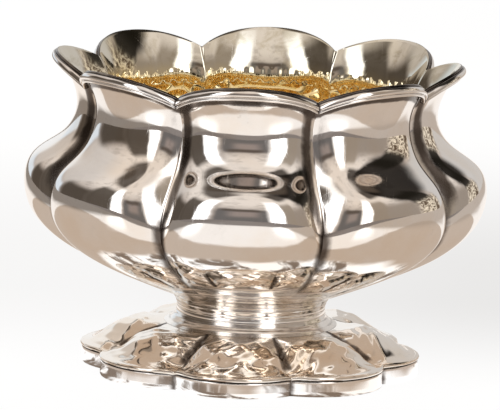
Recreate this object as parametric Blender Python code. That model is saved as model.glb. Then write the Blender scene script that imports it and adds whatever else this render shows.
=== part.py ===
"""Silver sugar bowl: an eight-lobed open bowl on a round neck and a spreading lobed foot.

Metres, +Z up. The origin is the centre of the resting face and lobe crowns lie on +X, -X, +Y and -Y.
"""

import math

import bpy
import numpy as np

MM = 0.001

# Lobes
LOBES = 8
HALF_LOBE = math.pi / LOBES
STEPS_PER_LOBE = 8
SCALLOP_POWER = 2.2

# Between base and rim the lobes have steeper flanks than an arc has
FLANK_POWER = 6
FLANK_SHARE = 0.34
FLANK_HEIGHTS = (27.0, 36.0, 70.0, 81.0)

# Thicknesses and clearances
BOWL_WALL = 0.8
FOOT_WALL = 0.9
NECK_WALL = 1.1
BAND_WALL = 1.5
SOLDER_GAP = 0.3

# The foot was soldered on slightly turned against the bowl
FOOT_TURN = math.radians(-3.0)

# Heights
BAND_TOP = 4.4
FOOT_LEDGE_TOP = 5.7
FOOT_TOP = 12.8
NECK_TOP = 22.0
BOWL_BASE = NECK_TOP + SOLDER_GAP

# Radii
NECK_TOP_RADIUS = 24.6
WAIST_RADIUS = 20.8
WAIST_HEIGHT = 17.2
NECK_FOOT_RADIUS = 24.2
COVE_SWEEP = 0.9
FOOT_TOP_HOLE = 21.6
FLOOR_MIDDLE = 15.0

# Bowl outside, from the seam with the neck to the rim.
# Each station: crown radius, crown height, cusp radius, cusp height.
BOWL_SEAM = (25.4, BOWL_BASE, 25.2, BOWL_BASE)
BOWL_STATIONS = (
    BOWL_SEAM,
    (37.5, 27.0, 36.6, 27.4),
    (55.2, 36.0, 51.0, 36.0),
    (64.0, 46.5, 58.0, 46.0),
    (63.4, 57.6, 54.7, 56.0),
    (54.2, 65.0, 49.0, 64.5),
    (50.5, 73.6, 46.9, 73.0),
    (52.8, 81.2, 48.4, 79.0),
    (57.1, 87.6, 50.5, 82.8),
)

# Foot outside, from the ledge up to the seam with the neck, same order of values
FOOT_STATIONS = (
    (45.8, FOOT_LEDGE_TOP, 41.0, FOOT_LEDGE_TOP),
    (42.2, 6.9, 37.8, 6.3),
    (38.6, 9.4, 34.2, 8.3),
    (34.0, 11.6, 30.4, 10.2),
    (24.4, FOOT_TOP, 24.4, FOOT_TOP),
)
FOOT_EDGE = (47.8, 42.9)
BAND_EDGE = (47.4, 42.5)
EDGE_ROUND = 0.3

# Rim wire section: distance below the rim edge, distance out from the bowl's surface
WIRE_DEPTH = 3.3
WIRE_SECTION = (
    (0.0, 0.9),
    (0.5, 1.6),
    (1.3, 1.8),
    (2.0, 1.25),
    (2.5, 1.35),
    (3.0, 1.15),
    (WIRE_DEPTH, 0.6),
)
WIRE_INNER_POINTS = 3

# Level of detail
BOWL_ROWS = 16
FOOT_ROWS = 11
NECK_ROWS = 7
WIRE_STEPS = 8
SHARP_ANGLE = 25


def clear_scene():
    for obj in list(bpy.data.objects):
        bpy.data.objects.remove(obj)


def silver(name, color, roughness):
    material = bpy.data.materials.new(name)
    material.use_nodes = True
    shader = material.node_tree.nodes["Principled BSDF"]
    shader.inputs["Base Color"].default_value = (*color, 1.0)
    shader.inputs["Metallic"].default_value = 1.0
    shader.inputs["Roughness"].default_value = roughness
    return material


def natural_spline(knots, values):
    """Second derivatives at the knots of the natural cubic spline through the values."""
    count = len(knots)
    step = np.diff(knots)
    matrix = np.eye(count)
    right = np.zeros((count, values.shape[1]))
    for i in range(1, count - 1):
        matrix[i, i - 1] = step[i - 1]
        matrix[i, i] = 2 * (step[i - 1] + step[i])
        matrix[i, i + 1] = step[i]
        right[i] = 6 * ((values[i + 1] - values[i]) / step[i] - (values[i] - values[i - 1]) / step[i - 1])
    return np.linalg.solve(matrix, right)


class Profile:
    """A smooth curve through stations, each a crown point and a cusp point of the lobed surface."""

    def __init__(self, stations):
        self.values = np.array(stations, float)
        spans = np.hypot(np.diff(self.values[:, 0]), np.diff(self.values[:, 1]))
        self.knots = np.concatenate([[0.0], np.cumsum(spans)])
        self.bends = natural_spline(self.knots, self.values)
        self.length = self.knots[-1]

    def at(self, distance):
        i = int(np.clip(np.searchsorted(self.knots, distance) - 1, 0, len(self.knots) - 2))
        span = self.knots[i + 1] - self.knots[i]
        b = (distance - self.knots[i]) / span
        a = 1 - b
        bend = ((a**3 - a) * self.bends[i] + (b**3 - b) * self.bends[i + 1]) * span**2 / 6
        return a * self.values[i] + b * self.values[i + 1] + bend

    def offset(self, distance, out):
        """The station at this distance, moved out along the surface normal."""
        tiny = 0.01
        low = max(distance - tiny, 0.0)
        high = min(distance + tiny, self.length)
        slope = self.at(high) - self.at(low)
        crown = np.array([slope[1], -slope[0]]) / math.hypot(slope[0], slope[1])
        cusp = np.array([slope[3], -slope[2]]) / math.hypot(slope[2], slope[3])
        return offset_station(self.at(distance), crown * out, cusp * out)


def lobe_arc(crown, cusp):
    """Centre distance and radius of the arc that joins two cusps over one crown."""
    half_chord = cusp * math.sin(HALF_LOBE)
    rise = crown - cusp * math.cos(HALF_LOBE)
    radius = (half_chord**2 + rise**2) / (2 * rise)
    return crown - radius, radius


def offset_station(station, crown_move, cusp_move):
    """A station whose lobe arc is parallel to the first one, the cusps staying on their planes."""
    centre, radius = lobe_arc(station[0], station[2])
    wider = radius + cusp_move[0]
    across = centre * math.sin(HALF_LOBE)
    cusp = centre * math.cos(HALF_LOBE) + math.sqrt(wider**2 - across**2)
    return np.array([station[0] + crown_move[0], station[1] + crown_move[1], cusp, station[3] + cusp_move[1]])


def smooth_step(low, high, value):
    share = min(max((value - low) / (high - low), 0.0), 1.0)
    return share * share * (3 - 2 * share)


def fullness(height):
    """Share of a lobe's rise that its flanks bulge by: 0 at base and rim, where the section is an arc."""
    start, full, fading, end = FLANK_HEIGHTS
    return FLANK_SHARE * smooth_step(start, full, height) * (1 - smooth_step(fading, end, height))


def lobe_point(station, share):
    """Point of one lobe section: share runs from -1 at one cusp, over 0 at the crown, to 1."""
    crown, crown_height, cusp, cusp_height = station
    centre, radius = lobe_arc(crown, cusp)
    half_angle = math.atan2(cusp * math.sin(HALF_LOBE), cusp * math.cos(HALF_LOBE) - centre)
    angle = half_angle * share
    across = radius * math.sin(angle)
    out = centre + radius * math.cos(angle)
    height = cusp_height + (crown_height - cusp_height) * (1 - abs(share) ** SCALLOP_POWER)
    reach = abs(across) / (radius * math.sin(half_angle))
    bulge = fullness(height) * radius * (1 - math.cos(half_angle)) * (reach**2 - reach**FLANK_POWER)
    return across, out + bulge, height


def place(across, out, height, angle):
    x = out * math.sin(angle) + across * math.cos(angle)
    y = -out * math.cos(angle) + across * math.sin(angle)
    return (x * MM, y * MM, height * MM)


def lobed_ring(station, turn=0.0):
    ring = []
    for lobe in range(LOBES):
        angle = lobe * 2 * HALF_LOBE + turn
        for step in range(STEPS_PER_LOBE):
            share = -1 + 2 * step / STEPS_PER_LOBE
            ring.append(place(*lobe_point(station, share), angle))
    return ring


def round_ring(radius, height, turn=0.0):
    ring = []
    for step in range(LOBES * STEPS_PER_LOBE):
        angle = 2 * math.pi * step / (LOBES * STEPS_PER_LOBE) - HALF_LOBE + turn
        ring.append(place(0.0, radius, height, angle))
    return ring


def build(name, points, faces, material):
    mesh = bpy.data.meshes.new(name)
    mesh.from_pydata(points, [], faces)
    mesh.materials.append(material)
    obj = bpy.data.objects.new(name, mesh)
    bpy.context.collection.objects.link(obj)
    mesh.shade_smooth()
    mesh.set_sharp_from_angle(angle=math.radians(SHARP_ANGLE))
    return obj


def skin(rings, closed_loop):
    """Quads between neighbouring rings, and between the last and the first if the loop is closed."""
    count = len(rings[0])
    faces = []
    last = len(rings) if closed_loop else len(rings) - 1
    for i in range(last):
        low = i * count
        high = (i + 1) % len(rings) * count
        for j in range(count):
            k = (j + 1) % count
            faces.append((low + j, low + k, high + k, high + j))
    return faces


def capped_shell(name, rings, first_height, last_height, material):
    """A body whose rings run from one disc, all the way round, to another disc."""
    count = len(rings[0])
    points = [point for ring in rings for point in ring]
    faces = skin(rings, closed_loop=False)
    points.append((0.0, 0.0, first_height * MM))
    points.append((0.0, 0.0, last_height * MM))
    start = len(points) - 2
    top = (len(rings) - 1) * count
    for j in range(count):
        k = (j + 1) % count
        faces.append((start, k, j))
        faces.append((start + 1, top + j, top + k))
    return build(name, points, faces, material)


def ring_body(name, rings, material):
    """A body that goes all the way round its hole: the rings close on themselves."""
    points = [point for ring in rings for point in ring]
    return build(name, points, skin(rings, closed_loop=True), material)


def make_bowl(profile):
    distances = np.linspace(0.0, profile.length, BOWL_ROWS)
    floor_height = BOWL_BASE + BOWL_WALL
    outside = [lobed_ring(profile.at(distance)) for distance in distances]
    inside = [lobed_ring(profile.offset(distance, -BOWL_WALL)) for distance in distances[:0:-1]]
    disc = round_ring(FLOOR_MIDDLE, BOWL_BASE)
    floor = round_ring(FLOOR_MIDDLE, floor_height)
    floor_edge = round_ring(NECK_TOP_RADIUS, floor_height)
    rings = [disc, *outside, *inside, floor_edge, floor]
    material = silver("bowl_silver", (0.86, 0.83, 0.79), 0.12)
    return capped_shell("bowl", rings, BOWL_BASE, floor_height, material)


def make_rim_wire(number, profile, material):
    """One mitred length of rim wire, over one petal."""
    section = []
    for distance, out in WIRE_SECTION:
        section.append(profile.offset(profile.length - distance, out))
    for i in range(WIRE_INNER_POINTS):
        distance = WIRE_DEPTH * (1 - i / (WIRE_INNER_POINTS - 1))
        section.append(profile.offset(profile.length - distance, SOLDER_GAP))
    points = []
    angle = number * 2 * HALF_LOBE
    for step in range(WIRE_STEPS + 1):
        share = -1 + 2 * step / WIRE_STEPS
        for station in section:
            across, out, height = lobe_point(station, share)
            mitre = out * math.tan(HALF_LOBE) - SOLDER_GAP / 2 / math.cos(HALF_LOBE)
            points.append(place(max(-mitre, min(mitre, across)), out, height, angle))
    count = len(section)
    faces = []
    for i in range(WIRE_STEPS):
        for j in range(count):
            k = (j + 1) % count
            low = i * count
            high = low + count
            faces.append((low + j, low + k, high + k, high + j))
    faces.append(tuple(range(count - 1, -1, -1)))
    end = WIRE_STEPS * count
    faces.append(tuple(range(end, end + count)))
    return build(f"rim_wire_{number + 1}", points, faces, material)


def neck_radius(height):
    """Outside of the neck: a cove, flaring away from the waist both ways like part of an ellipse."""
    if height > WAIST_HEIGHT:
        share = (height - WAIST_HEIGHT) / (NECK_TOP - WAIST_HEIGHT)
        flare = NECK_TOP_RADIUS - WAIST_RADIUS
    else:
        share = (WAIST_HEIGHT - height) / (WAIST_HEIGHT - FOOT_TOP - SOLDER_GAP)
        flare = NECK_FOOT_RADIUS - WAIST_RADIUS
    rise = 1 - math.sqrt(1 - COVE_SWEEP * share**2)
    return WAIST_RADIUS + flare * rise / (1 - math.sqrt(1 - COVE_SWEEP))


def make_neck():
    heights = np.linspace(FOOT_TOP + SOLDER_GAP, NECK_TOP, NECK_ROWS)
    outside = [round_ring(neck_radius(height), height) for height in heights]
    inside = [round_ring(WAIST_RADIUS - NECK_WALL, height) for height in heights[::-1]]
    return ring_body("neck_collar", outside + inside, silver("neck_silver", (0.85, 0.81, 0.77), 0.18))


def make_foot(profile):
    distances = np.linspace(0.0, profile.length, FOOT_ROWS)
    ledge_low = BAND_TOP + SOLDER_GAP
    edge_middle = (ledge_low + FOOT_LEDGE_TOP) / 2
    crown, cusp = FOOT_EDGE
    edge = [
        (crown - EDGE_ROUND, ledge_low, cusp - EDGE_ROUND, ledge_low),
        (crown, edge_middle, cusp, edge_middle),
        (crown - EDGE_ROUND, FOOT_LEDGE_TOP, cusp - EDGE_ROUND, FOOT_LEDGE_TOP),
    ]
    lip = [lobed_ring(station, FOOT_TURN) for station in edge]
    outside = [lobed_ring(profile.at(distance), FOOT_TURN) for distance in distances]
    inside = [lobed_ring(profile.offset(distance, -FOOT_WALL), FOOT_TURN) for distance in distances[-2::-1]]
    hole_top = round_ring(FOOT_TOP_HOLE, FOOT_TOP, FOOT_TURN)
    hole_low = round_ring(FOOT_TOP_HOLE, FOOT_TOP - FOOT_WALL, FOOT_TURN)
    rings = [*lip, *outside, hole_top, hole_low, *inside]
    return ring_body("foot", rings, silver("foot_silver", (0.86, 0.82, 0.77), 0.14))


def make_band():
    crown, cusp = BAND_EDGE
    outer = (crown, 0.0, cusp, 0.0)
    inner = offset_station(np.array(outer), np.array([-BAND_WALL, 0.0]), np.array([-BAND_WALL, 0.0]))
    rings = []
    for station, height in ((outer, 0.0), (outer, BAND_TOP), (inner, BAND_TOP), (inner, 0.0)):
        rings.append(lobed_ring((station[0], height, station[2], height), FOOT_TURN))
    return ring_body("foot_band", rings, silver("band_silver", (0.85, 0.82, 0.78), 0.16))


clear_scene()
bowl_profile = Profile(BOWL_STATIONS)
foot_profile = Profile(FOOT_STATIONS)
make_bowl(bowl_profile)
wire_silver = silver("rim_silver", (0.87, 0.84, 0.8), 0.12)
for petal in range(LOBES):
    make_rim_wire(petal, bowl_profile, wire_silver)
make_neck()
make_foot(foot_profile)
make_band()
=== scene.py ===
"""Looks of the eight-lobed silver sugar bowl: fine metal surfaces, finishes, studio and camera."""

import math

import bpy
import numpy as np
from mathutils import Matrix, Vector


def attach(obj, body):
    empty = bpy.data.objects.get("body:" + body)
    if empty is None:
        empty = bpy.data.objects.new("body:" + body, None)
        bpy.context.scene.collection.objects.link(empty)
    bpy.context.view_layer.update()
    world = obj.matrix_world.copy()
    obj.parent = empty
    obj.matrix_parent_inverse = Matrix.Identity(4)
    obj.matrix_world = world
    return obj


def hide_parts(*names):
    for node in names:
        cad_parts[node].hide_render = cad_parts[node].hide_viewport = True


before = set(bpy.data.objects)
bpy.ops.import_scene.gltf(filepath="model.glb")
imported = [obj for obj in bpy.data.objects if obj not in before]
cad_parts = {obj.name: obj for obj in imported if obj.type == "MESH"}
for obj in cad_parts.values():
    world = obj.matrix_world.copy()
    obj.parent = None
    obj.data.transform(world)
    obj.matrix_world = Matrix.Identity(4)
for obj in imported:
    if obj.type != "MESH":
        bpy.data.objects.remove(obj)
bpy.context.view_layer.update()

MM = 0.001
NO_MOVE = (0.0, 0.0)
LOBES = 8
HALF_LOBE = math.pi / LOBES
SCALLOP_POWER = 2.2
FLANK_POWER = 6
FLANK_SHARE = 0.34
FLANK_HEIGHTS = (27.0, 36.0, 70.0, 81.0)

# Level of detail
ARC_STEPS = 34
FILLET_STEPS = 4
BOWL_ROWS = 110
FOOT_ROWS = 44
NECK_ROWS = 96
WIRE_STEPS = 40
SECTION_STEPS = 4
SHARP_ANGLE = 38

# Thicknesses, millimetres
BOWL_WALL = 0.8
FOOT_WALL = 0.9
BAND_WALL = 1.5
BOWL_FILLET = 0.75
FOOT_FILLET = 0.8
LEAST_FILLET = 0.05
SEAM = 0.02
MITRE_GAP = 0.012
FOOT_TURN = math.radians(-3.0)

# Heights and radii, millimetres
BOWL_BASE = 22.3
THROAT_SHADE = (46, 58)
CREASES_START = (25, 31)
INNER_CREASES_START = (24, 34)
NECK_SHADE = (22.3, 24.5)
GILT_FADES = (73.0, 83.0)
NECK_FOOT = 12.85
NECK_TOP = 22.25
NECK_TOP_RADIUS = 24.6
NECK_FOOT_RADIUS = 24.2
NECK_INSIDE = 19.7
WAIST_RADIUS = 20.8
WAIST_HEIGHT = 17.2
COVE_SWEEP = 0.9
RIDGES = 5.4
RIDGE_HEIGHT = 0.035
FINE_RIDGES = 9.7
FINE_RIDGE_HEIGHT = 0.012
BAND_TOP = 4.4
LEDGE_TOP = 5.7
FOOT_TOP = 12.8
FOOT_HOLE = 21.6
FOOT_EDGE = (47.8, 42.9)
FOOT_EDGE_HEIGHT = 5.05
BAND_EDGE = (47.4, 42.5)
UNDER_BOWL_RADII = (4.0, 12.0, 20.0)
BOWL_FLOOR_RADII = (24.4, 20.0, 14.0, 8.0, 3.0)

# Crown radius, crown height, cusp radius, cusp height, from the base up
BOWL_STATIONS = (
    (25.4, BOWL_BASE, 25.2, BOWL_BASE),
    (37.5, 27.0, 36.6, 27.4),
    (55.2, 36.0, 51.0, 36.0),
    (64.0, 46.5, 58.0, 46.0),
    (63.4, 57.6, 54.7, 56.0),
    (54.2, 65.0, 49.0, 64.5),
    (50.5, 73.6, 46.9, 73.0),
    (52.8, 81.2, 48.4, 79.0),
    (57.1, 87.6, 50.5, 82.8),
)
FOOT_STATIONS = (
    (45.8, LEDGE_TOP, 41.0, LEDGE_TOP),
    (42.2, 6.9, 37.8, 6.3),
    (38.6, 9.4, 34.2, 8.3),
    (34.0, 11.6, 30.4, 10.2),
    (24.4, FOOT_TOP, 24.4, FOOT_TOP),
)

# The bowl's edge, rounded over: distance below the rim, distance out from the outer surface
BOWL_EDGE = ((0.07, -0.07), (0.0, -0.25), (0.0, -0.55), (0.07, -0.73))
BELOW_EDGE = 0.25
EDGE_MIDDLE = -0.3
EDGE_INSIDE = -0.75
EDGE_DEPTH = 0.3
INSIDE_START = 1.2

# How much deeper the rim moulding is at the cusps than at the crowns, and the valley between its rolls
RIM_SAG = 0.3
VALLEY_DEPTH = 1.83
VALLEY_WIDTH = 0.2

# Rim section: depth below the edge, distance out from the bowl
RIM_SECTION = (
    (0.34, SEAM),
    (0.05, 0.25),
    (0.0, 0.6),
    (0.1, 1.0),
    (0.4, 1.42),
    (0.85, 1.68),
    (1.3, 1.62),
    (1.62, 1.34),
    (1.8, 1.2),
    (2.0, 1.24),
    (2.3, 1.44),
    (2.7, 1.48),
    (3.05, 1.22),
    (3.26, 0.8),
    (3.3, 0.3),
    (3.2, SEAM),
    (2.2, SEAM),
    (1.2, SEAM),
)

# Foot shell's lip: crown radius, height, cusp radius
FOOT_LIP = (
    (46.4, BAND_TOP + SEAM, 41.5),
    (47.35, BAND_TOP + SEAM + 0.05, 42.45),
    (47.72, BAND_TOP + SEAM + 0.32, 42.82),
    (FOOT_EDGE[0], FOOT_EDGE_HEIGHT, FOOT_EDGE[1]),
    (47.7, 5.38, 42.8),
    (47.35, 5.62, 42.45),
    (46.8, LEDGE_TOP, 41.95),
)

# Foot band section: distance out from its outer face, height
BAND_SECTION = (
    (-0.3, 0.0),
    (-0.08, 0.07),
    (0.0, 0.25),
    (0.03, 0.7),
    (0.0, 1.6),
    (-0.04, 2.6),
    (0.0, 3.6),
    (0.0, 4.1),
    (-0.05, 4.3),
    (-0.2, BAND_TOP),
    (-1.3, BAND_TOP),
    (-1.45, 4.3),
    (-BAND_WALL, 4.1),
    (-BAND_WALL, 2.2),
    (-BAND_WALL, 0.3),
    (-1.45, 0.07),
    (-1.3, 0.0),
)

# Waves left by hand work: height, turns round the axis, radians per millimetre the other way, and phase
RAISING_WAVES = ((0.10, 2, 0.0, 0.7), (0.07, 5, 0.11, 0.0), (0.05, 9, -0.17, 1.9))
CHASING_WAVES = ((0.15, 17, 0.6, 0.0), (0.13, 23, -0.9, 1.0), (0.08, 37, 1.5, 2.0))
RIM_WAVE = 0.16
FOOT_LOBE_RISE = 0.75
FOOT_CREASE_SINK = 0.3


# ---------------------------------------------------------------- shapes


def smooth_step(low, high, value):
    share = np.clip((value - low) / (high - low), 0, 1)
    return share * share * (3 - 2 * share)


def waves(terms, angle, other):
    """The sum of some waves that run round the axis and along another coordinate."""
    return sum(size * np.sin(turns * angle + along * other + phase) for size, turns, along, phase in terms)


def natural_spline(knots, values):
    """Second derivatives at the knots of the natural cubic spline through the values."""
    count = len(knots)
    step = np.diff(knots)
    matrix = np.eye(count)
    right = np.zeros((count, values.shape[1]))
    for i in range(1, count - 1):
        matrix[i, i - 1] = step[i - 1]
        matrix[i, i] = 2 * (step[i - 1] + step[i])
        matrix[i, i + 1] = step[i]
        slope_after = (values[i + 1] - values[i]) / step[i]
        slope_before = (values[i] - values[i - 1]) / step[i - 1]
        right[i] = 6 * (slope_after - slope_before)
    return np.linalg.solve(matrix, right)


class Profile:
    """A smooth curve through stations, each a crown point and a cusp point of the lobed surface."""

    def __init__(self, stations):
        self.values = np.array(stations, float)
        spans = np.hypot(np.diff(self.values[:, 0]), np.diff(self.values[:, 1]))
        self.knots = np.concatenate([[0.0], np.cumsum(spans)])
        self.bends = natural_spline(self.knots, self.values)
        self.length = self.knots[-1]

    def at(self, distance):
        i = int(np.clip(np.searchsorted(self.knots, distance) - 1, 0, len(self.knots) - 2))
        span = self.knots[i + 1] - self.knots[i]
        b = (distance - self.knots[i]) / span
        a = 1 - b
        bend = ((a**3 - a) * self.bends[i] + (b**3 - b) * self.bends[i + 1]) * span**2 / 6
        return a * self.values[i] + b * self.values[i + 1] + bend

    def normals(self, distance):
        tiny = 0.01
        slope = self.at(min(distance + tiny, self.length)) - self.at(max(distance - tiny, 0.0))
        crown = np.array([slope[1], -slope[0]]) / math.hypot(slope[0], slope[1])
        cusp = np.array([slope[3], -slope[2]]) / math.hypot(slope[2], slope[3])
        return crown, cusp


def lobe_arc(crown, cusp):
    """Centre distance and radius of the arc that joins two cusps over one crown."""
    half_chord = cusp * math.sin(HALF_LOBE)
    rise = crown - cusp * math.cos(HALF_LOBE)
    radius = (half_chord**2 + rise**2) / (2 * rise)
    return crown - radius, radius


def moved_lobe(station, crown_move, cusp_move):
    """Arc centre, arc radius, half angle and heights of a lobe section moved out along its normals."""
    centre, radius = lobe_arc(station[0], station[2])
    radius = radius + crown_move[0]
    across = centre * math.sin(HALF_LOBE)
    cusp = centre * math.cos(HALF_LOBE) + math.sqrt(radius**2 - across**2)
    half = math.atan2(cusp * math.sin(HALF_LOBE), cusp * math.cos(HALF_LOBE) - centre)
    return centre, radius, half, station[1] + crown_move[1], station[3] + cusp_move[1]


def heights_at(shares, crown_height, cusp_height):
    return cusp_height + (crown_height - cusp_height) * (1 - np.abs(shares) ** SCALLOP_POWER)


def fullness(height):
    """Share of a lobe's rise that its steep flanks take: 0 at base and rim, where the section is an arc."""
    start, full, fading, end = FLANK_HEIGHTS
    return FLANK_SHARE * smooth_step(start, full, height) * (1 - smooth_step(fading, end, height))


def filleted_lobe(station, crown_move, cusp_move, fillet, full=False):
    """Across, out and height of one lobe's points, from cusp plane to cusp plane, the cusps rounded off."""
    centre, radius, half, crown_height, cusp_height = moved_lobe(station, crown_move, cusp_move)
    rounding = max(fillet - crown_move[0], LEAST_FILLET)
    reach = radius + rounding
    distance = centre * math.cos(HALF_LOBE) + math.sqrt(reach**2 - (centre * math.sin(HALF_LOBE)) ** 2)
    middle = np.array([distance * math.sin(HALF_LOBE), distance * math.cos(HALF_LOBE)])
    touch = math.atan2(middle[0], middle[1] - centre)
    arc = np.linspace(-touch, touch, ARC_STEPS + 1)
    turn = np.linspace(touch, HALF_LOBE, FILLET_STEPS + 1)[1:]
    side_across = middle[0] - rounding * np.sin(turn)
    side_out = middle[1] - rounding * np.cos(turn)
    across = np.concatenate([-side_across[::-1], radius * np.sin(arc), side_across[:-1]])
    out = np.concatenate([side_out[::-1], centre + radius * np.cos(arc), side_out[:-1]])
    shares = np.arcsin(np.clip(across / radius, -1, 1)) / half
    height = heights_at(np.clip(shares, -1, 1), crown_height, cusp_height)
    if full:
        reach = np.abs(across) / np.abs(across).max()
        rise = radius * (1 - math.cos(half))
        out = out + fullness(height) * rise * (reach**2 - reach**FLANK_POWER)
    return across, out, height


def place(across, out, height, angle):
    x = out * np.sin(angle) + across * np.cos(angle)
    y = -out * np.cos(angle) + across * np.sin(angle)
    return np.stack([x, y, height + 0 * x], axis=-1)


def lobed_ring(station, crown_move=NO_MOVE, cusp_move=NO_MOVE, fillet=BOWL_FILLET, turn=0.0, full=False):
    across, out, height = filleted_lobe(station, crown_move, cusp_move, fillet, full)
    angles = [lobe * 2 * HALF_LOBE + turn for lobe in range(LOBES)]
    return np.concatenate([place(across, out, height, angle) for angle in angles])


def ring_share():
    """How near each point of a ring is to its cusp: 0 at a crown, 1 at a cusp."""
    across, _, _ = filleted_lobe(BOWL_STATIONS[4], NO_MOVE, NO_MOVE, BOWL_FILLET)
    return np.tile(np.abs(across) / np.abs(across).max(), LOBES)


def round_ring(radius, height, like):
    """A ring of this radius, its points at the same angles as those of another ring."""
    angle = np.arctan2(like[:, 0], -like[:, 1])
    return place(0 * angle, radius, height, angle)


def smooth_loop(points, steps):
    """A closed Catmull-Rom curve through the points."""
    points = np.array(points, float)
    count = len(points)
    found = []
    for i in range(count):
        a, b, c, d = (points[(i + k) % count] for k in (-1, 0, 1, 2))
        for t in np.arange(steps) / steps:
            bend = (2 * a - 5 * b + 4 * c - d) * t**2 + (3 * b - a - 3 * c + d) * t**3
            found.append(0.5 * ((2 * b) + (c - a) * t + bend))
    return np.array(found)


def raised_by_hand(points):
    """Millimetre points moved a little, as hand raising and two centuries of use leave silver."""
    angle = np.arctan2(points[:, 0], -points[:, 1])
    height = points[:, 2]
    radius = np.hypot(points[:, 0], points[:, 1])
    reach = np.clip((radius - 26) / 14, 0, 1) * np.clip((height - 20) / 14, 0, 1)
    lift = RIM_WAVE * np.sin(3 * angle + 0.4) * np.clip((height - 62) / 20, 0, 1)
    scale = 1 + waves(RAISING_WAVES, angle, height) * reach / np.maximum(radius, 1)
    return np.stack([points[:, 0] * scale, points[:, 1] * scale, height + lift], axis=-1)


def make_piece(name, points, faces, material, node, marks=None):
    mesh = bpy.data.meshes.new(name)
    mesh.from_pydata((points * MM).tolist(), [], faces)
    mesh.materials.append(material)
    for title, values in (marks or {}).items():
        layer = mesh.attributes.new(title, "FLOAT", "POINT")
        layer.data.foreach_set("value", np.asarray(values, np.float32))
    obj = bpy.data.objects.new(name, mesh)
    bpy.context.scene.collection.objects.link(obj)
    mesh.shade_smooth()
    mesh.set_sharp_from_angle(angle=math.radians(SHARP_ANGLE))
    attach(obj, "root")
    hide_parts(node)
    return obj


def skin_faces(rows, count, closed_loop):
    faces = []
    for i in range(rows if closed_loop else rows - 1):
        low = i * count
        high = (i + 1) % rows * count
        for j in range(count):
            k = (j + 1) % count
            faces.append((low + j, low + k, high + k, high + j))
    return faces


def capped_faces(rows, count):
    """The skin's faces with a cap over its first row and its last."""
    last = (rows - 1) * count
    caps = [tuple(range(count - 1, -1, -1)), tuple(range(last, last + count))]
    return skin_faces(rows, count, closed_loop=False) + caps


def bowl_marks(within, share, height, depth, on_edge, petal_of):
    """Where the bowl keeps tarnish and painted shade, where it is gilt and where it is inside. Depth runs
    from the rim.
    """
    throat = smooth_step(*THROAT_SHADE, height)
    # Painted shade in the throat: a dark band beside each crease, the crease itself left bright, half as
    # dark on every other petal.
    painted_crease_band = smooth_step(0.8, 0.9, share) * (1 - 0.85 * smooth_step(0.955, 0.99, share))
    painted_crease_band = painted_crease_band * np.where(petal_of % 2 == 0, 1.0, 0.5)
    # Lower down, tarnish and painted shade in the crease itself.
    in_crease = 0.95 * smooth_step(0.9, 0.985, share)
    tarnish_and_shade = (throat * painted_crease_band + (1 - throat) * in_crease) * smooth_step(*CREASES_START, height)
    # Painted shade in a band under the rim moulding, wider towards the cusps.
    shaded_to = 5.2 + 3.2 * share**5
    shade_under_rim = (1 - smooth_step(shaded_to, shaded_to + 1.6, depth)) * smooth_step(2.9, 3.3, depth)
    tarnish_and_shade = np.maximum(tarnish_and_shade, shade_under_rim) * (1 - within)
    # Painted shade low on the outside where the bowl meets the neck, and tarnish with painted shade in the
    # creases inside.
    shade_above_neck = 0.7 * (1 - smooth_step(*NECK_SHADE, height)) * (1 - within)
    inner_crease = 0.5 * smooth_step(0.93, 1.0, share) * within * smooth_step(*INNER_CREASES_START, height)
    tarnish_and_shade = np.maximum(np.maximum(tarnish_and_shade, shade_above_neck), inner_crease)
    # The bowl's rounded edge is darkened too.
    tarnish_and_shade = np.maximum(tarnish_and_shade, 0.95 * on_edge)
    gilt = within * (1 - smooth_step(*GILT_FADES, height))
    return {"tarnish_and_shade": tarnish_and_shade, "gilt": gilt, "within": within}


def bowl_shell(profile, material):
    length = profile.length
    outside = np.linspace(0, length - BELOW_EDGE, BOWL_ROWS)
    inside = np.linspace(length - BELOW_EDGE, INSIDE_START, BOWL_ROWS)
    rows = [(distance, 0.0) for distance in outside]
    rows += [(length - below, out) for below, out in BOWL_EDGE]
    rows += [(distance, -BOWL_WALL) for distance in inside]
    rings = []
    for distance, out in rows:
        crown, cusp = profile.normals(distance)
        rings.append(lobed_ring(profile.at(distance), crown * out, cusp * out, full=True))
    first = rings[0]
    under = [round_ring(radius, BOWL_BASE, first) for radius in UNDER_BOWL_RADII]
    floor = [round_ring(radius, BOWL_BASE + BOWL_WALL, first) for radius in BOWL_FLOOR_RADII]
    rings = under + rings + floor
    count = len(first)
    points = np.concatenate(rings)
    faces = capped_faces(len(rings), count)

    def spread(row_values, floor_value):
        per_ring = [0.0] * len(under) + row_values + [floor_value] * len(floor)
        return np.repeat(per_ring, count)

    within = spread([float(out < EDGE_MIDDLE) for _, out in rows], 1.0)
    depth = spread([length - distance for distance, _ in rows], length)
    edge_rows = [float(out > EDGE_INSIDE and length - distance < EDGE_DEPTH) for distance, out in rows]
    on_edge = spread(edge_rows, 0.0)
    share = np.tile(ring_share(), len(rings))
    petal_of = np.tile(np.arange(count) * LOBES // count, len(rings))
    marks = bowl_marks(within, share, points[:, 2], depth, on_edge, petal_of)
    return make_piece("bowl_shell", raised_by_hand(points), faces, material, "bowl", marks)


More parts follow.
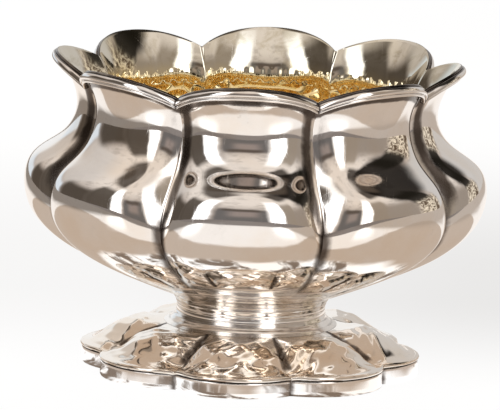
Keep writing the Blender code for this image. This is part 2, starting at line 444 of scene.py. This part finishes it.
def rim_moulding(number, profile, material):
    section = smooth_loop(RIM_SECTION, SECTION_STEPS)
    lines = []
    for depth, out in section:
        distance = profile.length - depth
        crown, cusp = profile.normals(distance)
        lines.append(moved_lobe(profile.at(distance), crown * out, cusp * out))
    angle = number * 2 * HALF_LOBE
    slices = []
    for share in np.linspace(-1, 1, WIRE_STEPS + 1):
        for (depth, _), (centre, radius, half, crown_height, cusp_height) in zip(section, lines):
            across = radius * math.sin(half * share)
            out = centre + radius * math.cos(half * share)
            mitre = out * math.tan(HALF_LOBE) - MITRE_GAP
            across = max(-mitre, min(mitre, across))
            height = heights_at(share, crown_height, cusp_height) - RIM_SAG * depth * share**4
            slices.append(place(np.array(across), np.array(out), height, angle))
    points = np.array(slices)
    count = len(section)
    faces = capped_faces(WIRE_STEPS + 1, count)
    depth = np.tile(section[:, 0], WIRE_STEPS + 1)
    out = np.tile(section[:, 1], WIRE_STEPS + 1)
    share = np.repeat(np.abs(np.linspace(-1, 1, WIRE_STEPS + 1)), count)
    # Tarnish and painted shade in the valley between the rolls, at the mitred ends and where the moulding
    # meets the bowl.
    tarnish_and_shade = 0.9 * np.exp(-(((depth - VALLEY_DEPTH) / VALLEY_WIDTH) ** 2)) * smooth_step(0.5, 1.0, out)
    tarnish_and_shade = np.maximum(tarnish_and_shade, smooth_step(0.95, 1.0, share))
    tarnish_and_shade = np.maximum(tarnish_and_shade, 1 - smooth_step(0.3, 0.85, out))
    marks = {"tarnish_and_shade": tarnish_and_shade, "gilt": 0 * tarnish_and_shade, "within": 0 * tarnish_and_shade}
    name = f"rim_moulding_{number + 1}"
    node = f"rim_wire_{number + 1}"
    return make_piece(name, raised_by_hand(points), faces, material, node, marks)


def turned(height):
    """The neck's turned ridges, from -1 in a groove to 1 on a ridge."""
    return np.sin(height * RIDGES + 0.8 * np.sin(height * 1.1))


def neck_radius(height):
    """Outside of the neck: a cove, flaring away from the waist both ways, with turned ridges."""
    if height > WAIST_HEIGHT:
        share = min((height - WAIST_HEIGHT) / (NECK_TOP - WAIST_HEIGHT), 1)
        flare = NECK_TOP_RADIUS - WAIST_RADIUS
    else:
        share = min((WAIST_HEIGHT - height) / (WAIST_HEIGHT - NECK_FOOT), 1)
        flare = NECK_FOOT_RADIUS - WAIST_RADIUS
    rise = 1 - math.sqrt(1 - COVE_SWEEP * share**2)
    ridges = RIDGE_HEIGHT * turned(height) + FINE_RIDGE_HEIGHT * math.sin(height * FINE_RIDGES)
    return WAIST_RADIUS + flare * rise / (1 - math.sqrt(1 - COVE_SWEEP)) + ridges


def neck_spun(like, material):
    heights = np.linspace(NECK_FOOT, NECK_TOP, NECK_ROWS)
    rings = [round_ring(neck_radius(height), height, like) for height in heights]
    rings += [round_ring(NECK_INSIDE, height, like) for height in heights[::-6]]
    rings.append(round_ring(NECK_INSIDE, NECK_FOOT, like))
    count = len(like)
    points = np.concatenate(rings)
    faces = skin_faces(len(rings), count, closed_loop=True)
    height = points[:, 2]
    # Tarnish and painted shade under the bowl, above the foot and in the turned grooves.
    tarnish_and_shade = 0.75 * smooth_step(21.4, 22.2, height) + 0.3 * (1 - smooth_step(12.9, 13.4, height))
    tarnish_and_shade = np.maximum(tarnish_and_shade, 0.24 - 0.3 * turned(height))
    marks = {"tarnish_and_shade": np.clip(tarnish_and_shade, 0, 1), "gilt": 0 * tarnish_and_shade, "within": 0 * tarnish_and_shade}
    return make_piece("neck_spun", points, faces, material, "neck_collar", marks)


def foot_shell(profile, material):
    rings = []
    for crown, height, cusp in FOOT_LIP:
        rings.append(lobed_ring((crown, height, cusp, height), fillet=FOOT_FILLET, turn=FOOT_TURN))
    distances = np.linspace(0.0, profile.length, FOOT_ROWS)
    for distance in distances:
        rings.append(lobed_ring(profile.at(distance), fillet=FOOT_FILLET, turn=FOOT_TURN))
    tags = [0.0] * len(rings)
    like = rings[0]
    for height in (FOOT_TOP, FOOT_TOP - FOOT_WALL):
        rings.append(round_ring(FOOT_HOLE, height, like))
        tags.append(1.0)
    for distance in distances[-2::-1]:
        top, side = profile.normals(distance)
        move = (top * -FOOT_WALL, side * -FOOT_WALL)
        rings.append(lobed_ring(profile.at(distance), *move, fillet=FOOT_FILLET, turn=FOOT_TURN))
        tags.append(1.0)
    count = len(like)
    points = np.concatenate(rings)
    faces = skin_faces(len(rings), count, closed_loop=True)
    within = np.repeat(tags, count)
    share = np.tile(ring_share(), len(rings))
    height = points[:, 2]
    # Tarnish and painted shade in the creases of the foot's top, and over all its inside.
    tarnish_and_shade = smooth_step(0.88, 0.975, share)
    tarnish_and_shade = tarnish_and_shade * smooth_step(5.6, 7.0, height) * (1 - within)
    tarnish_and_shade = np.maximum(tarnish_and_shade, 0.45 * within)
    marks = {"tarnish_and_shade": tarnish_and_shade, "gilt": 0 * tarnish_and_shade, "within": within}
    return make_piece("foot_shell", dimpled(points, share), faces, material, "foot", marks)


def dimpled(points, share):
    """Foot points with each lobe raised, its creases sunk, and the shallow waves that chasing left."""
    angle = np.arctan2(points[:, 0], -points[:, 1])
    radius = np.hypot(points[:, 0], points[:, 1])
    reach = smooth_step(25, 32, radius) * (1 - smooth_step(42, 46, radius))
    wave = waves(CHASING_WAVES, angle, radius)
    wave = wave + FOOT_LOBE_RISE * (1 - share**3) - FOOT_CREASE_SINK * smooth_step(0.82, 1.0, share)
    return points + np.stack([0 * wave, 0 * wave, wave * reach], axis=-1)


def foot_strip(material):
    crown, cusp = BAND_EDGE
    rings = []
    for move, height in BAND_SECTION:
        station = (crown, height, cusp, height)
        rings.append(lobed_ring(station, (move, 0.0), (move, 0.0), fillet=FOOT_FILLET, turn=FOOT_TURN))
    count = len(rings[0])
    points = np.concatenate(rings)
    faces = skin_faces(len(rings), count, closed_loop=True)
    share = np.tile(ring_share(), len(rings))
    height = points[:, 2]
    # Tarnish and painted shade at the creases and along the band's top, under the foot's ledge.
    tarnish_and_shade = smooth_step(0.9, 1.0, share) * 0.8
    tarnish_and_shade = np.maximum(tarnish_and_shade, smooth_step(3.9, 4.35, height))
    marks = {"tarnish_and_shade": tarnish_and_shade, "gilt": 0 * tarnish_and_shade, "within": 0 * tarnish_and_shade}
    return make_piece("foot_strip", points, faces, material, "foot_band", marks)


# ---------------------------------------------------------------- node helpers


class Graph:
    """Short ways to add shader nodes to one tree. Values are numbers, colours or sockets."""

    def __init__(self, tree):
        self.tree = tree

    def plug(self, socket, value):
        if isinstance(value, bpy.types.NodeSocket):
            self.tree.links.new(value, socket)
        else:
            socket.default_value = value

    def node(self, kind, inputs=None, **settings):
        node = self.tree.nodes.new(kind)
        for name, value in settings.items():
            setattr(node, name, value)
        for name, value in (inputs or {}).items():
            self.plug(node.inputs[name], value)
        return node

    def math(self, operation, a, b=0.0, c=0.0, clamp=False):
        node = self.node("ShaderNodeMath", {0: a, 1: b, 2: c}, operation=operation, use_clamp=clamp)
        return node.outputs[0]

    def ramp(self, value, low, high, to_low=0.0, to_high=1.0, kind="SMOOTHSTEP"):
        inputs = {"Value": value, "From Min": low, "From Max": high, "To Min": to_low, "To Max": to_high}
        return self.node("ShaderNodeMapRange", inputs, interpolation_type=kind).outputs["Result"]

    def between(self, value, low, high, soft):
        """1 between low and high, fading to 0 over this softness on each side of both."""
        rise = self.ramp(value, low - soft, low + soft)
        fall = self.ramp(value, high - soft, high + soft, 1.0, 0.0)
        return self.math("MULTIPLY", rise, fall)

    def about_zero(self, noise, size):
        """The noise moved to lie about zero, this many times as large."""
        return self.math("MULTIPLY", self.math("SUBTRACT", noise, 0.5), size)

    def plus(self, total, value, times):
        """The total plus this many times the value."""
        return self.math("ADD", total, self.math("MULTIPLY", value, times))

    def mix(self, share, a, b, blend="MIX"):
        node = self.node("ShaderNodeMix", data_type="RGBA", blend_type=blend)
        self.plug(node.inputs[0], share)
        self.plug(node.inputs[6], a)
        self.plug(node.inputs[7], b)
        return node.outputs[2]

    def noise(self, vector, scale, detail=2.0, roughness=0.5, distortion=0.0):
        inputs = {
            "Vector": vector,
            "Scale": scale,
            "Detail": detail,
            "Roughness": roughness,
            "Distortion": distortion,
        }
        return self.node("ShaderNodeTexNoise", inputs).outputs["Fac"]

    def attribute(self, name):
        return self.node("ShaderNodeAttribute", attribute_name=name).outputs["Fac"]

    def scaled(self, vector, x, y, z, turn=(0.0, 0.0, 0.0)):
        inputs = {"Vector": vector, "Scale": (x, y, z), "Rotation": turn}
        return self.node("ShaderNodeMapping", inputs).outputs["Vector"]


def rgb(red, green, blue):
    return (red, green, blue, 1.0)


# ---------------------------------------------------------------- silver

# Flutes inside the throat: how many, how deep in millimetres, and the heights in metres where they fade in
# and out
FLUTES = 96
FLUTE_DEPTH = 0.07
FLUTES_FROM = (0.0728, 0.0742)
FLUTES_TO = (0.0762, 0.0776)

# Colours of metal and of what lies on it, with painted shade in the tarnish colour and a painted warm
# reflection in the foot's silver
SILVER = (0.94, 0.918, 0.897)
# The foot's silver tinted warmer: a painted golden-brown reflection of the bowl above it
WARM_REFLECTION_SILVER = (0.95, 0.9, 0.84)
NECK_SILVER = (0.965, 0.935, 0.9)
BAND_SILVER = (0.94, 0.93, 0.93)
PALE_GOLD = (0.99, 0.91, 0.7)
DEEP_GOLD = (0.96, 0.83, 0.56)
THIN_GILT = (0.77, 0.72, 0.59)
GILT_SPECK = (0.55, 0.49, 0.36)
BLOOM = (0.55, 0.45, 0.36)
# Tarnish, and painted shade in grooves, creases and joins, in one colour
TARNISH_SHADE_COLOUR = (0.075, 0.055, 0.043)


def throat_flutes(graph, parts, within):
    """Bump of a row of short upright flutes inside the throat, which break up the reflection there."""
    turn = graph.math("ARCTAN2", parts.outputs["X"], parts.outputs["Y"])
    flutes = graph.math("SINE", graph.math("MULTIPLY", turn, FLUTES))
    low = graph.ramp(parts.outputs["Z"], *FLUTES_FROM)
    high = graph.ramp(parts.outputs["Z"], *FLUTES_TO, 1.0, 0.0)
    band = graph.math("MULTIPLY", graph.math("MULTIPLY", low, high), within)
    return graph.math("MULTIPLY", graph.math("MULTIPLY", flutes, band), FLUTE_DEPTH)


def silver(name, seed, base, dents, rough_low, rough_high, streaks=0.5, fluted=False):
    """Old polished silver with soft dents, polishing lines, fingermarks, gilding, and tarnish with painted
    shade in its grooves.
    """
    material = bpy.data.materials.new(name)
    material.use_nodes = True
    graph = Graph(material.node_tree)
    shader = material.node_tree.nodes["Principled BSDF"]
    spot = graph.node("ShaderNodeTexCoord").outputs["Object"]
    moved = (seed, -seed, 0.4 * seed)
    spot = graph.node("ShaderNodeMapping", {"Vector": spot, "Location": moved}).outputs[0]
    parts = graph.node("ShaderNodeSeparateXYZ", {0: spot})
    tarnish_and_shade = graph.attribute("tarnish_and_shade")
    gilt = graph.attribute("gilt")
    within = graph.attribute("within")

    cloud = graph.noise(spot, 42.0, 4.0, 0.55)
    smudge = graph.noise(spot, 120.0, 5.0, 0.62, 0.6)
    grain = graph.noise(spot, 900.0, 3.0, 0.6)
    flecks = graph.noise(spot, 2300.0, 2.0, 0.5)

    # Tarnish and painted shade where the mesh marks them, ragged at the edge
    edge = graph.math("ADD", tarnish_and_shade, graph.about_zero(smudge, 0.9))
    tarnish_shade_cover = graph.math("MULTIPLY", graph.ramp(edge, 0.38, 0.95), graph.ramp(tarnish_and_shade, 0.02, 0.3))
    pale = tuple(channel * 0.93 for channel in base)
    warm = (base[0] * 0.97, base[1] * 0.915, base[2] * 0.85)
    color = graph.mix(graph.ramp(cloud, 0.38, 0.68), rgb(*base), rgb(*warm))
    color = graph.mix(graph.ramp(smudge, 0.55, 0.75, 0.0, 0.6), color, rgb(*pale))
    bloom = graph.math("MULTIPLY", graph.ramp(grain, 0.6, 0.72), graph.ramp(smudge, 0.5, 0.7))
    color = graph.mix(graph.math("MULTIPLY", bloom, 0.25), color, rgb(*BLOOM))
    gold = graph.mix(graph.ramp(cloud, 0.35, 0.7), rgb(*PALE_GOLD), rgb(*DEEP_GOLD))
    thin = graph.math("MULTIPLY", within, graph.ramp(cloud, 0.3, 0.7, 0.55, 1.0))
    color = graph.mix(thin, color, rgb(*THIN_GILT))
    specks = graph.math("MULTIPLY", within, graph.ramp(smudge, 0.46, 0.62, 0.0, 0.6))
    color = graph.mix(specks, color, rgb(*GILT_SPECK))
    worn = graph.math("ADD", gilt, graph.about_zero(smudge, 0.7))
    gilding = graph.math("MULTIPLY", graph.ramp(worn, 0.25, 0.75), graph.ramp(gilt, 0.0, 0.15))
    color = graph.mix(gilding, color, gold)
    # Tarnish and painted shade laid over all the rest
    color = graph.mix(graph.math("MULTIPLY", tarnish_shade_cover, 0.93), color, rgb(*TARNISH_SHADE_COLOUR))
    graph.plug(shader.inputs["Base Color"], color)
    shader.inputs["Metallic"].default_value = 1.0

    lines = graph.noise(graph.scaled(spot, 60, 60, 2600), 1.0, 2.0, 0.6)
    first = graph.noise(graph.scaled(spot, 2600, 70, 90, (0.3, 0.5, 0.9)), 1.0, 1.0)
    second = graph.noise(graph.scaled(spot, 80, 2800, 60, (0.9, 0.2, 0.4)), 1.0, 1.0)
    scratch = graph.math("MAXIMUM", graph.ramp(first, 0.66, 0.72), graph.ramp(second, 0.67, 0.73))
    rough = graph.ramp(smudge, 0.3, 0.75, rough_low, rough_high)
    rough = graph.plus(rough, scratch, 0.06)
    rough = graph.plus(rough, tarnish_shade_cover, 0.14)
    rough = graph.math("ADD", rough, graph.about_zero(grain, 0.05))
    graph.plug(shader.inputs["Roughness"], graph.math("MAXIMUM", rough, 0.03))

    soft = graph.noise(spot, 36.0, 2.0, 0.45)
    small = graph.noise(spot, 105.0, 2.0, 0.5)
    height = graph.math("MULTIPLY", soft, dents)
    height = graph.plus(height, small, dents * 0.14)
    height = graph.plus(height, lines, 0.0012 * streaks)
    height = graph.plus(height, scratch, -0.0016)
    height = graph.plus(height, flecks, 0.0004)
    height = graph.plus(height, graph.math("MULTIPLY", tarnish_shade_cover, grain), 0.02)
    if fluted:
        height = graph.math("ADD", height, throat_flutes(graph, parts, within))
    bump = graph.node("ShaderNodeBump", {"Strength": 1.0, "Distance": MM, "Height": height})
    graph.plug(shader.inputs["Normal"], bump.outputs["Normal"])
    return material


# ---------------------------------------------------------------- studio


# Each light or dark field around the object: azimuth from and to, elevation from and to, softness across
# and up, colour, and cover. Azimuth 0 is the camera's side, 90 the right, -90 the left and 180 behind.
# Later fields lie over earlier ones.
FIELDS = (
    ((136, 190), (-12, 46), (6, 10), (0.62, 0.595, 0.575), 1.0),
    ((-190, -150), (-12, 50), (7, 12), (0.92, 0.92, 0.92), 1.0),
    ((-152, -116), (14, 50), (8, 8), (0.66, 0.61, 0.57), 0.8),
    ((-156, -124), (-6, 13), (5, 4), (0.78, 0.86, 0.94), 0.9),
    ((-122, -84), (-14, 27), (7, 7), (0.07, 0.055, 0.042), 0.95),
    ((-88, -50), (-9, 50), (5, 7), (0.08, 0.064, 0.05), 0.93),
    ((-34, -24), (-12, 50), (4, 10), (0.46, 0.4, 0.36), 0.8),
    ((-25, 18), (-9, 31), (3, 4.5), (0.16, 0.148, 0.143), 1.0),
    ((-13, 9), (9, 25), (6, 5), (0.38, 0.31, 0.28), 0.75),
    ((-20, 12), (24, 31), (5, 2.5), (0.1, 0.075, 0.06), 0.8),
    ((40, 68), (-18, 50), (4, 8), (0.33, 0.275, 0.22), 0.9),
    ((66, 97), (-16, 30), (4, 8), (0.33, 0.28, 0.235), 0.9),
    ((-190, -46), (63, 84), (9, 5), (0.06, 0.046, 0.036), 0.9),
    ((52, 190), (62, 84), (9, 5), (0.04, 0.031, 0.025), 0.92),
    ((90, 156), (34, 76), (6, 7), (0.012, 0.009, 0.007), 0.97),
    ((97, 127), (20, 50), (3, 5), (0.014, 0.012, 0.009), 0.95),
    ((-53, -30), (-14, 61), (4, 6), (1.3, 1.29, 1.28), 0.92),
    ((19, 42), (-17, 62), (4, 6), (1.35, 1.33, 1.31), 0.95),
    ((-51, -32), (-14, 50), (3.5, 8), (2.4, 2.4, 2.45), 1.0),
    ((22, 41), (-17, 52), (3.5, 8), (2.3, 2.3, 2.35), 1.0),
)

# Overhead lamp shade and the dark gap round it. For each ring: where it starts and ends in degrees from
# the middle, its softness, what sideways distances are multiplied by, its colour and its cover.
SHADE_MIDDLE = (0.0, 0.208, 0.978)
SHADE_RINGS = (
    (-9.0, 8.0, 2.0, 0.3, (0.09, 0.07, 0.055), 0.93),
    (2.5, 4.5, 0.5, 0.84, (1.25, 1.2, 1.14), 1.0),
    (-1.0, 2.3, 0.9, 0.84, (0.2, 0.165, 0.145), 0.95),
)

# The room beyond the fields, and the cluttered corner at the right: azimuths, elevations and softness
CEILING_FROM_TO = (14, 54)
LOW_WALL = (0.4, 0.34, 0.3)
CEILING = (0.85, 0.77, 0.7)
WALL_PATCH = (0.26, 0.22, 0.19)
BUSY_CORNER = (99, 136, -20, 24, 5, 6)
BUSY_DARK = (0.13, 0.09, 0.06)
BUSY_LIGHT = (0.95, 0.84, 0.68)

# Sweep paper, metres, with painted shadow and shade, and the softboxes' painted sheen between azimuths in
# degrees
FLOOR_HALF = 6.0
FLOOR_DROP = 0.0002
PAPER_STRENGTH = 0.97
# Painted shadow on the paper behind the object, as the camera sees it
PAPER_SHADOW_GREY = (0.8, 0.795, 0.79)
# As the silver sees it: a long warm painted shadow of the bowl on the paper
BOWL_SHADOW_SQUEEZE = 0.34
BOWL_SHADOW_END = (0.09, 0.1)
BOWL_SHADOW_TONE = (0.52, 0.425, 0.35)
PAPER_IN_METAL = (0.94, 0.89, 0.85)
# Painted shade and glints in patches on the paper close under the bowl
UNDER_BOWL_END = (0.055, 0.063)
UNDER_BOWL_SHADE = (0.2, 0.15, 0.115)
UNDER_BOWL_LIGHT = (1.18, 1.17, 1.16)
SHEEN_SECTORS = ((-53, -31), (20, 42))
SHEEN_START = (0.11, 0.2)
SHEEN_SOFTNESS = 6
SHEEN = (1.5, 1.5, 1.5)
RIGHT_EDGE = (0.15, 0.24)
RIGHT_DIM = (0.4, 0.33, 0.275)
LEFT_EDGE = (-0.3, -0.19)
LEFT_DIM = (0.15, 0.122, 0.1)
FRONT_EDGE = (-0.37, -0.31)
FRONT_DIM = (0.18, 0.155, 0.145)


def studio_world():
    """Soft studio light: pale behind, two tall softboxes in front, dark gaps and a cluttered corner."""
    world = bpy.data.worlds.new("studio")
    bpy.context.scene.world = world
    world.use_nodes = True
    tree = world.node_tree
    for node in list(tree.nodes):
        tree.nodes.remove(node)
    graph = Graph(tree)
    direction = graph.node("ShaderNodeTexCoord").outputs["Generated"]
    unit = graph.node("ShaderNodeVectorMath", {0: direction}, operation="NORMALIZE").outputs[0]
    parts = graph.node("ShaderNodeSeparateXYZ", {0: unit})
    behind = graph.math("MULTIPLY", parts.outputs["Y"], -1.0)
    azimuth = graph.math("DEGREES", graph.math("ARCTAN2", parts.outputs["X"], behind))
    elevation = graph.math("DEGREES", graph.math("ARCSINE", parts.outputs["Z"]))
    shift = graph.about_zero(graph.noise(unit, 3.2, 3.0, 0.55), 7.0)
    azimuth = graph.math("ADD", azimuth, shift)
    lifted = graph.plus(elevation, shift, -0.5)

    def window(left, right, bottom, top, soft_x, soft_y):
        across = graph.between(azimuth, left, right, soft_x)
        upward = graph.between(lifted, bottom, top, soft_y)
        return graph.math("MULTIPLY", across, upward)

    color = graph.mix(graph.ramp(elevation, *CEILING_FROM_TO), rgb(*LOW_WALL), rgb(*CEILING))
    patches = graph.noise(unit, 6.0, 3.0, 0.6)
    color = graph.mix(graph.ramp(patches, 0.5, 0.66, 0.0, 0.35), color, rgb(*WALL_PATCH))
    for (left, right), (bottom, top), (soft_x, soft_y), tint, cover in FIELDS:
        share = graph.math("MULTIPLY", window(left, right, bottom, top, soft_x, soft_y), cover)
        color = graph.mix(share, color, rgb(*tint))
    busy = graph.noise(unit, 9.0, 6.0, 0.7, 1.5)
    busy_color = graph.mix(graph.ramp(busy, 0.44, 0.56), rgb(*BUSY_DARK), rgb(*BUSY_LIGHT))
    color = graph.mix(window(*BUSY_CORNER), color, busy_color)
    offset = graph.node("ShaderNodeVectorMath", {0: unit, 1: SHADE_MIDDLE}, operation="SUBTRACT").outputs[0]
    for start, end, soft, narrow, tint, cover in SHADE_RINGS:
        squeezed = graph.scaled(offset, narrow, 1.0, 1.0)
        away = graph.node("ShaderNodeVectorMath", {0: squeezed}, operation="LENGTH").outputs["Value"]
        away = graph.math("DEGREES", away)
        ring = graph.between(away, start, end, soft)
        color = graph.mix(graph.math("MULTIPLY", ring, cover), color, rgb(*tint))
    seen = graph.node("ShaderNodeLightPath").outputs["Is Camera Ray"]
    lit = graph.node("ShaderNodeBackground", {"Color": color, "Strength": 1.0}).outputs[0]
    plain = graph.node("ShaderNodeBackground", {"Color": rgb(1.0, 1.0, 1.0), "Strength": 1.0}).outputs[0]
    both = graph.node("ShaderNodeMixShader", {0: seen, 1: lit, 2: plain}).outputs[0]
    graph.plug(graph.node("ShaderNodeOutputWorld").inputs["Surface"], both)
    return world


def seen_paper(graph, spot, parts):
    """The paper as the camera sees it: white, with a faint grey band of painted shadow behind, stronger on
    the right.
    """
    fibre = graph.noise(spot, 700.0, 3.0, 0.6)
    patch = graph.noise(spot, 2.2, 2.0, 0.5)
    tone = graph.mix(graph.ramp(patch, 0.35, 0.7), rgb(1.0, 1.0, 1.0), rgb(0.975, 0.975, 0.975))
    tone = graph.mix(graph.ramp(fibre, 0.3, 0.7, 0.0, 0.4), tone, rgb(0.985, 0.985, 0.985))
    # Painted soft shadow: a grey band on the paper behind the object, paler on the left.
    rise = graph.ramp(parts.outputs["Y"], -0.03, 0.12)
    fall = graph.ramp(parts.outputs["Y"], 0.16, 0.42, 1.0, 0.0)
    side = graph.ramp(parts.outputs["X"], -0.06, 0.07, 0.42, 1.0)
    band = graph.math("MULTIPLY", rise, fall)
    return graph.mix(graph.math("MULTIPLY", band, side), tone, rgb(*PAPER_SHADOW_GREY))


def reflected_paper(graph, spot, parts):
    """The paper as silver sees it: a long warm painted shadow, painted shade and glints mottled near the
    object, and two sectors of painted sheen.
    """
    radius = graph.node("ShaderNodeVectorMath", {0: spot}, operation="LENGTH").outputs["Value"]
    ragged = graph.about_zero(graph.noise(spot, 30.0, 2.0), 0.02)
    radius = graph.math("ADD", radius, ragged)
    # Painted shadow of the bowl: a long warm patch about it, ragged at its edge
    long_spot = graph.scaled(spot, BOWL_SHADOW_SQUEEZE, 1.0, 1.0)
    long_way = graph.node("ShaderNodeVectorMath", {0: long_spot}, operation="LENGTH").outputs["Value"]
    long_way = graph.plus(long_way, ragged, 0.6)
    tone = graph.mix(graph.ramp(long_way, *BOWL_SHADOW_END), rgb(*BOWL_SHADOW_TONE), rgb(*PAPER_IN_METAL))
    # Painted shade and glints in patches close under the bowl
    mottle = graph.noise(spot, 36.0, 4.0, 0.62, 0.8)
    near = graph.mix(graph.ramp(mottle, 0.4, 0.48), rgb(*UNDER_BOWL_SHADE), rgb(*UNDER_BOWL_LIGHT))
    tone = graph.mix(graph.ramp(radius, *UNDER_BOWL_END, 1.0, 0.0), tone, near)
    behind = graph.math("MULTIPLY", parts.outputs["Y"], -1.0)
    around = graph.math("DEGREES", graph.math("ARCTAN2", parts.outputs["X"], behind))
    for left, right in SHEEN_SECTORS:
        sheen = graph.between(around, left, right, SHEEN_SOFTNESS)
        sheen = graph.math("MULTIPLY", sheen, graph.ramp(radius, *SHEEN_START))
        tone = graph.mix(sheen, tone, rgb(*SHEEN))
    uneven = graph.about_zero(graph.noise(spot, 6.0, 2.0), 0.12)
    sideways = graph.math("ADD", parts.outputs["X"], uneven)
    forward = graph.math("ADD", parts.outputs["Y"], uneven)
    tone = graph.mix(graph.ramp(sideways, *RIGHT_EDGE, 0.0, 0.85), tone, rgb(*RIGHT_DIM))
    tone = graph.mix(graph.ramp(sideways, *LEFT_EDGE, 0.9, 0.0), tone, rgb(*LEFT_DIM))
    return graph.mix(graph.ramp(forward, *FRONT_EDGE, 0.95, 0.0), tone, rgb(*FRONT_DIM))


def floor_material():
    """Glowing sweep paper with one tone for the camera and another for the silver."""
    material = bpy.data.materials.new("sweep_paper")
    material.use_nodes = True
    tree = material.node_tree
    for node in list(tree.nodes):
        tree.nodes.remove(node)
    graph = Graph(tree)
    spot = graph.node("ShaderNodeTexCoord").outputs["Object"]
    parts = graph.node("ShaderNodeSeparateXYZ", {0: spot})
    tone = seen_paper(graph, spot, parts)
    metal_tone = reflected_paper(graph, spot, parts)
    seen = graph.node("ShaderNodeLightPath").outputs["Is Camera Ray"]
    glow = graph.node("ShaderNodeEmission", {"Color": tone, "Strength": PAPER_STRENGTH}).outputs[0]
    glow_in_metal = graph.node("ShaderNodeEmission", {"Color": metal_tone, "Strength": 1.0}).outputs[0]
    mixed = graph.node("ShaderNodeMixShader", {0: seen, 1: glow_in_metal, 2: glow}).outputs[0]
    paper = graph.node("ShaderNodeBsdfDiffuse", {"Color": rgb(0.08, 0.078, 0.075)}).outputs[0]
    both = graph.node("ShaderNodeAddShader", {0: mixed, 1: paper}).outputs[0]
    graph.plug(graph.node("ShaderNodeOutputMaterial").inputs["Surface"], both)
    return material


def add_floor():
    mesh = bpy.data.meshes.new("sweep")
    corners = ((-1, -1), (1, -1), (1, 1), (-1, 1))
    points = [(x * FLOOR_HALF, y * FLOOR_HALF, -FLOOR_DROP) for x, y in corners]
    mesh.from_pydata(points, [], [(0, 1, 2, 3)])
    mesh.materials.append(floor_material())
    obj = bpy.data.objects.new("sweep", mesh)
    bpy.context.scene.collection.objects.link(obj)


CAMERA_AZIMUTH = math.radians(3.4)
CAMERA_ELEVATION = math.radians(10.1)
CAMERA_ROLL = math.radians(1.9)
CAMERA_DISTANCE = 2.0
AIM_RIGHT = -1.2 * MM
AIM_HEIGHT = 45.9 * MM
LENS = 514.0


def add_camera():
    level = math.cos(CAMERA_ELEVATION)
    right = Vector((math.cos(CAMERA_AZIMUTH), math.sin(CAMERA_AZIMUTH), 0))
    back_across = math.sin(CAMERA_AZIMUTH) * level
    back_along = -math.cos(CAMERA_AZIMUTH) * level
    back = Vector((back_across, back_along, math.sin(CAMERA_ELEVATION)))
    up = back.cross(right)
    aim = right * AIM_RIGHT + Vector((0, 0, AIM_HEIGHT))
    place_at = aim + back * CAMERA_DISTANCE
    across = right * math.cos(CAMERA_ROLL) + up * math.sin(CAMERA_ROLL)
    upward = up * math.cos(CAMERA_ROLL) - right * math.sin(CAMERA_ROLL)
    data = bpy.data.cameras.new("camera")
    data.sensor_width = 36
    data.lens = LENS
    data.clip_end = 50
    camera = bpy.data.objects.new("camera", data)
    camera.matrix_world = Matrix(
        (
            (across.x, upward.x, back.x, place_at.x),
            (across.y, upward.y, back.y, place_at.y),
            (across.z, upward.z, back.z, place_at.z),
            (0, 0, 0, 1),
        )
    )
    bpy.context.scene.collection.objects.link(camera)
    bpy.context.scene.camera = camera


# ---------------------------------------------------------------- build

bowl_profile = Profile(BOWL_STATIONS)
foot_profile = Profile(FOOT_STATIONS)
bowl_shell(bowl_profile, silver("bowl_finish", 0.0, SILVER, 0.10, 0.035, 0.085, fluted=True))
rim_finish = silver("rim_finish", 1.7, SILVER, 0.03, 0.05, 0.12)
for petal in range(LOBES):
    rim_moulding(petal, bowl_profile, rim_finish)
like_foot = lobed_ring((FOOT_EDGE[0], FOOT_EDGE_HEIGHT, FOOT_EDGE[1], FOOT_EDGE_HEIGHT))
neck_spun(like_foot, silver("neck_finish", 3.1, NECK_SILVER, 0.05, 0.1, 0.2, streaks=4.0))
foot_shell(foot_profile, silver("foot_finish", 4.4, WARM_REFLECTION_SILVER, 0.3, 0.04, 0.11))
foot_strip(silver("band_finish", 5.9, BAND_SILVER, 0.14, 0.05, 0.12))
studio_world()
add_floor()
add_camera()

scene = bpy.context.scene
scene.view_settings.view_transform = "Standard"
scene.cycles.max_bounces = 12
scene.cycles.glossy_bounces = 12
